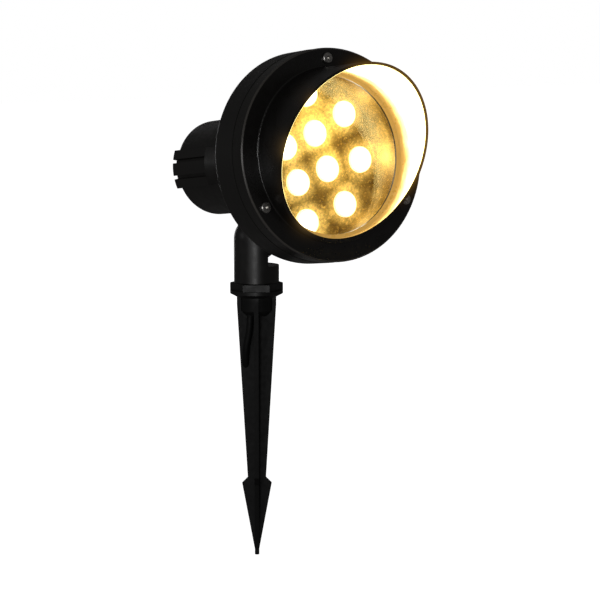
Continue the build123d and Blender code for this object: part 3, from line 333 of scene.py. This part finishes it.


# ---------------------------------------------------------------- finishes, some with painted light
def powder_coat(name, dark, light, roughness):
    """Black powder coat: slight orange peel, and a sheen that varies a little."""
    material, tree, shader = new_material(name)
    coords = object_coords(tree)
    feed(tree, mixed(tree, noise(tree, coords, PAINT_CLOUD), dark, light), shader.inputs["Base Color"])
    sheen = patchy(tree, coords, PAINT_PATCH, roughness - 0.05, roughness + 0.05)
    feed(tree, sheen, shader.inputs["Roughness"])
    relief(tree, shader, noise(tree, coords, PEEL_GRAIN, detail=2.0), PEEL_DEPTH, 0.6)
    return material


def ring_paint_and_painted_light():
    """Powder coat outside with a painted highlight on its outer front edge; inside the hood, cream paint
    under a painted glow of the lamp's light, gold by the glass.
    """
    material, tree, shader = new_material("ring_paint_and_painted_light")
    coords = head_coords(tree)
    radius, parts = radius_and_height(tree, coords)
    inside = maths(tree, "LESS_THAN", radius, HOOD_BORE + BORE_MARGIN)
    before_lip = maths(tree, "GREATER_THAN", parts.outputs["Z"], -LIP_FRONT - LIP_MARGIN)
    hood_inside = maths(tree, "MULTIPLY", inside, before_lip)
    plain = object_coords(tree)
    clouds = noise(tree, plain, PAINT_CLOUD)
    black = mixed(tree, clouds, (0.0060, 0.0054, 0.0050), (0.0100, 0.0092, 0.0086))
    # painted light on the hood's inside: gold by the glass, cream paint further out
    streaks = noise(tree, stretched(tree, coords, STREAK_STRETCH), STREAK_GRAIN, detail=2.0)
    depth = maths(tree, "MULTIPLY_ADD", streaks, STREAK_REACH, parts.outputs["Z"])
    far = spread(tree, depth, GLOW_GOLD_UNTIL, GLOW_CREAM_FROM, 0.0, 1.0)
    painted = mixed(tree, far, (0.16, 0.090, 0.020), (0.90, 0.82, 0.55))
    # painted highlight: a lighter band along the ring's outer front edge
    outermost = maths(tree, "GREATER_THAN", radius, RING_RADIUS - HIGHLIGHT_WIDTH)
    foremost = maths(tree, "GREATER_THAN", parts.outputs["Z"], -HIGHLIGHT_WIDTH)
    edge_highlighted = mixed(tree, maths(tree, "MULTIPLY", outermost, foremost), black, (0.060, 0.055, 0.050))
    feed(tree, mixed(tree, hood_inside, edge_highlighted, painted), shader.inputs["Base Color"])
    feed(tree, patchy(tree, plain, PAINT_PATCH, 0.26, 0.36), shader.inputs["Roughness"])
    # painted glow of the lamp's light on the hood's inside, though the hood is no lamp
    feed(tree, mixed(tree, far, (1.0, 0.60, 0.15), (1.0, 0.84, 0.29)), shader.inputs["Emission Color"])
    glow = spread(tree, depth, GLOW_GOLD_UNTIL, GLOW_CREAM_FROM, GOLD_GLOW, CREAM_GLOW)
    feed(tree, maths(tree, "MULTIPLY", hood_inside, glow), shader.inputs["Emission Strength"])
    relief(tree, shader, noise(tree, plain, PEEL_GRAIN, detail=2.0), PEEL_DEPTH, 0.5)
    return material


def moulded(name, dark, light, roughness, gloss=0.5):
    """Moulded plastic or rubber with a fine grain."""
    material, tree, shader = new_material(name)
    coords = object_coords(tree)
    flow = noise(tree, stretched(tree, coords, MOULD_STRETCH), MOULD_FLOW)
    feed(tree, mixed(tree, flow, dark, light), shader.inputs["Base Color"])
    sheen = patchy(tree, coords, MOULD_PATCH, roughness - 0.06, roughness + 0.06)
    feed(tree, sheen, shader.inputs["Roughness"])
    shader.inputs["Specular IOR Level"].default_value = gloss
    relief(tree, shader, noise(tree, coords, MOULD_GRAIN, detail=2.0), MOULD_DEPTH, 0.6)
    return material


def spike_finish():
    """Moulded black plastic: satin round the collar, matt on the blades."""
    material, tree, shader = new_material("spike_plastic")
    coords = object_coords(tree)
    parts = tree.nodes.new("ShaderNodeSeparateXYZ")
    tree.links.new(coords, parts.inputs["Vector"])
    flow = noise(tree, stretched(tree, coords, MOULD_STRETCH), MOULD_FLOW)
    colour = mixed(tree, flow, (0.0045, 0.0045, 0.0045), (0.0085, 0.0085, 0.0085))
    feed(tree, colour, shader.inputs["Base Color"])
    patches = patchy(tree, coords, MOULD_PATCH, -0.05, 0.05)
    roughness = spread(tree, parts.outputs["Z"], MATT_BELOW, SATIN_ABOVE, 0.56, 0.44)
    feed(tree, maths(tree, "ADD", roughness, patches), shader.inputs["Roughness"])
    gloss = spread(tree, parts.outputs["Z"], MATT_BELOW, SATIN_ABOVE, 0.16, 0.34)
    feed(tree, gloss, shader.inputs["Specular IOR Level"])
    relief(tree, shader, noise(tree, coords, MOULD_GRAIN, detail=2.0), MOULD_DEPTH, 0.5)
    return material


def metal(name, dark, light, roughness, grain=DRAWN_GRAIN):
    """Machined or plated metal with fine drawn lines."""
    material, tree, shader = new_material(name)
    coords = object_coords(tree)
    lines = noise(tree, stretched(tree, coords, DRAWN_LINES), grain * 3)
    feed(tree, mixed(tree, lines, dark, light), shader.inputs["Base Color"])
    shader.inputs["Metallic"].default_value = 1.0
    sheen = spread(tree, lines, NOISE_LOW, NOISE_HIGH, roughness - 0.06, roughness + 0.08)
    feed(tree, sheen, shader.inputs["Roughness"])
    relief(tree, shader, noise(tree, stretched(tree, coords, DRAWN_RELIEF), grain), DRAWN_DEPTH, 0.4)
    return material


def tray_gold_and_painted_glow():
    """Gold anodised, hammered tray under painted light of the lenses: a painted glow round each lens, painted
    brown shade and speckles away from them, and painted glints.
    """
    material, tree, shader = new_material("tray_gold_and_painted_glow")
    coords = head_coords(tree)
    radius, parts = radius_and_height(tree, coords)
    outer = lens_distance(tree, radius, parts, OUTER_CIRCLE_RADIUS, OUTER_COUNT, OUTER_START)
    inner = lens_distance(tree, radius, parts, INNER_CIRCLE_RADIUS, INNER_COUNT, INNER_START)
    nearest = maths(tree, "MINIMUM", outer, inner)
    # painted pool of light round each lens
    halo = spread(tree, nearest, LENS_RADIUS, 2.1 * LENS_RADIUS, 1.0, 0.0)
    # painted brown shade in soft patches
    shade = spread(tree, noise(tree, coords, TRAY_SHADE, detail=2.0), 0.42, 0.66, 0.0, 1.0)
    speckle = noise(tree, coords, TRAY_SPECKLE)
    # painted glints
    spark = spread(tree, noise(tree, coords, TRAY_SPARK, detail=1.0), 0.58, 0.70, 0.0, 1.0)
    # the painted light sets both the tray's colour and its glow
    bright = maths(tree, "MULTIPLY_ADD", halo, 0.50, maths(tree, "MULTIPLY", shade, 0.40))
    feed(tree, mixed(tree, bright, (0.13, 0.075, 0.014), (0.62, 0.44, 0.13)), shader.inputs["Base Color"])
    shader.inputs["Metallic"].default_value = 0.85
    feed(tree, spread(tree, speckle, NOISE_LOW, NOISE_HIGH, 0.30, 0.5), shader.inputs["Roughness"])
    # painted glow: the tray gives off light though it is no lamp
    feed(tree, mixed(tree, bright, (1.0, 0.52, 0.07), (1.0, 0.70, 0.18)), shader.inputs["Emission Color"])
    level = spread(tree, bright, 0.0, 0.8, 0.14, 0.80)
    grained = maths(tree, "MULTIPLY", level, spread(tree, speckle, 0.36, 0.64, 0.60, 1.30))
    feed(tree, maths(tree, "MULTIPLY_ADD", spark, 0.34, grained), shader.inputs["Emission Strength"])
    relief(tree, shader, cells(tree, coords, DIMPLE_GRAIN), DIMPLE_DEPTH, 0.8)
    return material


def glass_finish():
    """Clear tempered glass with a faint haze."""
    material, tree, shader = new_material("glass_finish")
    coords = object_coords(tree)
    shader.inputs["Base Color"].default_value = (0.96, 0.98, 0.96, 1)
    shader.inputs["Transmission Weight"].default_value = 1.0
    shader.inputs["IOR"].default_value = 1.46
    haze = spread(tree, noise(tree, coords, GLASS_HAZE), 0.4, 0.8, 0.0, 0.03)
    feed(tree, haze, shader.inputs["Roughness"])
    return material


def lens_finish():
    """Lit acrylic lens: white in the middle, warm at its rim, with a faint ring."""
    material, tree, shader = new_material("lens_finish")
    across = tree.nodes.new("ShaderNodeAttribute")
    across.attribute_name = "across"
    place = across.outputs["Fac"]
    warm = spread(tree, place, 0.55, 1.0, 0.0, 1.0)
    feed(tree, mixed(tree, warm, (1.0, 0.93, 0.74), (1.0, 0.74, 0.36)), shader.inputs["Emission Color"])
    from_ring = maths(tree, "ABSOLUTE", maths(tree, "SUBTRACT", place, FAINT_RING))
    ring = spread(tree, from_ring, 0.0, 0.05, 0.72, 1.0)
    strength = maths(tree, "MULTIPLY", ring, spread(tree, place, 0.6, 1.0, 5.5, 1.9))
    feed(tree, strength, shader.inputs["Emission Strength"])
    feed(tree, mixed(tree, warm, (0.95, 0.92, 0.82), (0.9, 0.8, 0.6)), shader.inputs["Base Color"])
    feed(tree, patchy(tree, object_coords(tree), LENS_PATCH, 0.08, 0.16), shader.inputs["Roughness"])
    return material


def core_finish():
    """Insulation of three colours, one to a core."""
    material, tree, shader = new_material("core_finish")
    island = tree.nodes.new("ShaderNodeNewGeometry").outputs["Random Per Island"]
    past_brown = maths(tree, "GREATER_THAN", island, 0.33)
    brown_or_blue = mixed(tree, past_brown, (0.12, 0.05, 0.02), (0.02, 0.09, 0.35))
    past_blue = maths(tree, "GREATER_THAN", island, 0.66)
    colour = mixed(tree, past_blue, brown_or_blue, (0.22, 0.42, 0.05))
    feed(tree, colour, shader.inputs["Base Color"])
    feed(tree, patchy(tree, object_coords(tree), CORE_PATCH, 0.3, 0.42), shader.inputs["Roughness"])
    return material


def dress(finish, *names):
    """A CAD node's own material slots take the finish."""
    for name in names:
        node = nodes[name]
        if not node.material_slots:
            node.data.materials.append(finish)
        for slot in node.material_slots:
            slot.material = finish


# ---------------------------------------------------------------- lenses
def lens_mesh():
    """One collimator lens: domed face with a stepped ring, tapering to the chip's well."""
    outline = [           # radius and height, from the middle of the face round to the chip's well
        (0.0, 0.0006),
        (0.0022, 0.00055),
        (0.0046, 0.00035),
        (0.0068, 0.0001),
        (0.0072, -0.00015),
        (0.0078, -0.00015),
        (0.0082, 0.0),
        (LENS_RADIUS - 0.0003, 0.0),
        (LENS_RADIUS, -0.0003),
        (LENS_RADIUS, -LENS_RIM),
        ((LENS_RADIUS + LENS_FOOT_RADIUS) / 2, -(LENS_RIM + LENS_DEPTH) / 2),
        (LENS_FOOT_RADIUS, -LENS_DEPTH),
        (CHIP_WELL_RADIUS, -LENS_DEPTH),
        (CHIP_WELL_RADIUS, CHIP_WELL_DEPTH - LENS_DEPTH),
        (0.0, CHIP_WELL_DEPTH - LENS_DEPTH + 0.0006),
    ]
    mesh = bpy.data.meshes.new("lens")
    work = bmesh.new()
    points = [work.verts.new((radius, 0, height)) for radius, height in outline]
    for first, second in zip(points, points[1:]):
        work.edges.new((first, second))
    bmesh.ops.spin(work, geom=work.verts[:] + work.edges[:], axis=(0, 0, 1), cent=(0, 0, 0),
                   steps=LENS_SIDES, angle=2 * pi, use_merge=True)
    bmesh.ops.remove_doubles(work, verts=work.verts[:], dist=SAME_POINT)
    bmesh.ops.recalc_face_normals(work, faces=work.faces[:])
    for face in work.faces:
        face.smooth = True
    work.to_mesh(mesh)
    work.free()
    across = mesh.attributes.new("across", "FLOAT", "POINT")
    for vertex, value in zip(mesh.vertices, across.data):
        value.value = min(vertex.co.xy.length / LENS_RADIUS, 1.0)
    return mesh


def circle_of_lenses_tree(finish):
    """Copies the lens round two circles, with named inputs for their sizes."""
    tree = bpy.data.node_groups.new("circles_of_lenses", "GeometryNodeTree")
    tree.interface.new_socket("Lens", in_out="INPUT", socket_type="NodeSocketGeometry")
    kinds = {"Circle Radius": "NodeSocketFloat", "Count": "NodeSocketInt", "Start": "NodeSocketFloat"}
    for name, kind in kinds.items():
        for ring in ("Outer", "Inner"):
            tree.interface.new_socket(f"{ring} {name}", in_out="INPUT", socket_type=kind)
    tree.interface.new_socket("Lenses", in_out="OUTPUT", socket_type="NodeSocketGeometry")
    given = tree.nodes.new("NodeGroupInput")
    result = tree.nodes.new("NodeGroupOutput")
    joined = tree.nodes.new("GeometryNodeJoinGeometry")
    for ring in ("Outer", "Inner"):
        circle = tree.nodes.new("GeometryNodeMeshCircle")
        turn = tree.nodes.new("ShaderNodeCombineXYZ")
        turned = tree.nodes.new("GeometryNodeTransform")
        copies = tree.nodes.new("GeometryNodeInstanceOnPoints")
        tree.links.new(given.outputs[f"{ring} Circle Radius"], circle.inputs["Radius"])
        tree.links.new(given.outputs[f"{ring} Count"], circle.inputs["Vertices"])
        tree.links.new(given.outputs[f"{ring} Start"], turn.inputs["Z"])
        tree.links.new(circle.outputs["Mesh"], turned.inputs["Geometry"])
        tree.links.new(turn.outputs["Vector"], turned.inputs["Rotation"])
        tree.links.new(turned.outputs["Geometry"], copies.inputs["Points"])
        tree.links.new(given.outputs["Lens"], copies.inputs["Instance"])
        tree.links.new(copies.outputs["Instances"], joined.inputs["Geometry"])
    real = tree.nodes.new("GeometryNodeRealizeInstances")
    painted = tree.nodes.new("GeometryNodeSetMaterial")
    painted.inputs["Material"].default_value = finish
    tree.links.new(joined.outputs["Geometry"], real.inputs["Geometry"])
    tree.links.new(real.outputs["Geometry"], painted.inputs["Geometry"])
    tree.links.new(painted.outputs["Geometry"], result.inputs["Lenses"])
    return tree


def lens_set(finish):
    """Twelve lenses in the tray's holes."""
    maker = bpy.data.objects.new("lens_maker", lens_mesh())
    scene.collection.objects.link(maker)
    modifier = maker.modifiers.new("circles", "NODES")
    modifier.node_group = circle_of_lenses_tree(finish)
    sizes = {
        "Outer Circle Radius": OUTER_CIRCLE_RADIUS,
        "Inner Circle Radius": INNER_CIRCLE_RADIUS,
        "Outer Count": OUTER_COUNT,
        "Inner Count": INNER_COUNT,
        "Outer Start": OUTER_START,
        "Inner Start": INNER_START,
    }
    for socket in modifier.node_group.interface.items_tree:
        if socket.name in sizes:
            modifier[socket.identifier] = sizes[socket.name]
    bpy.context.view_layer.update()
    made = maker.evaluated_get(bpy.context.evaluated_depsgraph_get())
    mesh = bpy.data.meshes.new_from_object(made)
    bpy.data.objects.remove(maker)
    mesh.transform(head_frame @ Matrix.Translation((0, 0, -LENS_FRONT)))
    lenses = bpy.data.objects.new("lens_set", mesh)
    scene.collection.objects.link(lenses)
    return lenses


# ---------------------------------------------------------------- studio
def area_light(name, place, aim, size, power, colour=(1, 1, 1)):
    data = bpy.data.lights.new(name, "AREA")
    data.shape = "DISK"
    data.size = size
    data.energy = power
    data.color = colour
    light = bpy.data.objects.new(name, data)
    light.location = place
    light.rotation_mode = "QUATERNION"
    light.rotation_quaternion = (Vector(aim) - Vector(place)).to_track_quat("-Z", "Y")
    light.visible_camera = False
    scene.collection.objects.link(light)
    return light


def studio():
    """A white floor and sky for the camera, soft light on the object."""
    material, _, shader = new_material("floor_white")
    shader.inputs["Base Color"].default_value = (0.9, 0.9, 0.9, 1)
    shader.inputs["Emission Color"].default_value = (1, 1, 1, 1)
    shader.inputs["Emission Strength"].default_value = 1.0
    mesh = bpy.data.meshes.new("floor")
    level = cad_box[0].z - FLOOR_GAP
    reach = FLOOR_REACH
    corners = [(-reach, -reach, level), (reach, -reach, level), (reach, reach, level), (-reach, reach, level)]
    mesh.from_pydata(corners, [], [(0, 1, 2, 3)])
    mesh.materials.append(material)
    floor = bpy.data.objects.new("floor", mesh)
    floor.visible_diffuse = False
    floor.visible_glossy = False
    floor.visible_shadow = False
    scene.collection.objects.link(floor)

    world = bpy.data.worlds.new("studio")
    world.use_nodes = True
    tree = world.node_tree
    soft = tree.nodes["Background"]
    soft.inputs["Color"].default_value = (1.0, 0.98, 0.96, 1)
    soft.inputs["Strength"].default_value = 0.06
    white = tree.nodes.new("ShaderNodeBackground")
    white.inputs["Color"].default_value = (1, 1, 1, 1)
    either = tree.nodes.new("ShaderNodeMixShader")
    seen = tree.nodes.new("ShaderNodeLightPath").outputs["Is Camera Ray"]
    tree.links.new(seen, either.inputs["Fac"])
    tree.links.new(soft.outputs["Background"], either.inputs[1])
    tree.links.new(white.outputs["Background"], either.inputs[2])
    tree.links.new(either.outputs["Shader"], tree.nodes["World Output"].inputs["Surface"])
    scene.world = world
    scene.view_settings.view_transform = "Standard"

    area_light("key", (-1.35, -1.60, 0.06), (0, 0, 0.02), 0.6, 7.5)
    area_light("edge", (-1.75, -0.95, 0.35), (0, 0, 0.1), 0.35, 3.0)
    area_light("side", (-1.5, 0.6, 0.4), (0, 0, 0.05), 0.5, 0.8)
    area_light("fill", (1.5, -1.0, 0.5), (0, 0, 0.05), 0.6, 0.3)
    area_light("back", (0.5, 2.0, 0.15), (0, 0, 0.05), 0.8, 3.5)
    beam_place = ring_centre - forward * BEAM_SETBACK
    beam = area_light("beam", beam_place, ring_centre + forward, 0.1, 0.3, (1.0, 0.84, 0.55))
    beam.parent = frame["bodies"]["head"]


def glow_round_lights():
    """The soft glow that a lens gives to what is brighter than white."""
    scene.use_nodes = True
    tree = scene.node_tree
    tree.nodes.clear()
    picture = tree.nodes.new("CompositorNodeRLayers")
    glare = tree.nodes.new("CompositorNodeGlare")
    result = tree.nodes.new("CompositorNodeComposite")
    glare.glare_type = "BLOOM"
    glare.quality = "HIGH"
    glare.inputs["Threshold"].default_value = 3.2
    glare.inputs["Strength"].default_value = 0.22
    glare.inputs["Size"].default_value = 0.03
    glare.inputs["Tint"].default_value = (1.0, 0.64, 0.24, 1)
    tree.links.new(picture.outputs["Image"], glare.inputs["Image"])
    tree.links.new(glare.outputs["Image"], result.inputs["Image"])


# ---------------------------------------------------------------- the pieces
place_camera()
lead, lead_exit = lead_curve()
lead_finish = moulded("lead_finish", (0.0030, 0.0030, 0.0030), (0.0060, 0.0060, 0.0060), 0.60, gloss=0.15)
lead.data.materials.append(lead_finish)
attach(lead, "spike")
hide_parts("supply_lead")

lenses = lens_set(lens_finish())
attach(lenses, "head")
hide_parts("led_lenses")

housing_paint = powder_coat("housing_paint", (0.0055, 0.0050, 0.0046), (0.0090, 0.0083, 0.0078), 0.42)
post_paint = powder_coat("post_paint", (0.0060, 0.0056, 0.0054), (0.0100, 0.0094, 0.0092), 0.40)
dress(housing_paint, "head_housing")
dress(post_paint, "knuckle_post")
dress(ring_paint_and_painted_light(), "front_ring")
dress(spike_finish(), "ground_spike")
dress(moulded("seal_rubber", (0.012, 0.012, 0.012), (0.022, 0.022, 0.022), 0.65),
      "post_seal", "knuckle_seal", "lead_grommet")
dress(moulded("inner_lead", (0.010, 0.010, 0.010), (0.018, 0.018, 0.018), 0.55),
      "lead_in_post", "lead_in_head")
dress(moulded("silicone", (0.55, 0.54, 0.50), (0.66, 0.65, 0.60), 0.45), "glass_gasket", "ring_gasket")
dress(metal("stainless", (0.40, 0.39, 0.37), (0.62, 0.60, 0.57), 0.30),
      "ring_screws", "pivot_screw", "pivot_washer", "spring_washer")
dress(metal("zinc_steel", (0.42, 0.43, 0.44), (0.60, 0.61, 0.62), 0.36),
      "threaded_nipple", "board_screws", "driver_screws", "earth_screw")
dress(metal("brass", (0.55, 0.38, 0.14), (0.78, 0.58, 0.28), 0.30), "terminal_screws", "earth_tag")
dress(metal("copper", (0.60, 0.26, 0.12), (0.86, 0.45, 0.25), 0.28, 0.0002), "lead_strands")
dress(core_finish(), "lead_cores", "inner_cores")
dress(moulded("wire_insulation", (0.30, 0.02, 0.015), (0.42, 0.03, 0.02), 0.38),
      "board_wires", "driver_wires")
dress(moulded("driver_case", (0.66, 0.66, 0.63), (0.76, 0.76, 0.73), 0.5), "led_driver")
dress(moulded("terminal_plastic", (0.70, 0.68, 0.60), (0.80, 0.78, 0.70), 0.42), "terminal_block")
dress(moulded("board_mask", (0.74, 0.74, 0.72), (0.84, 0.84, 0.82), 0.35), "led_board")
dress(moulded("phosphor", (0.85, 0.62, 0.12), (0.95, 0.72, 0.18), 0.4), "led_chips")
# the tray's screws share its painted glow
dress(tray_gold_and_painted_glow(), "reflector_tray", "tray_screws")
dress(glass_finish(), "front_glass")

studio()
glow_round_lights()
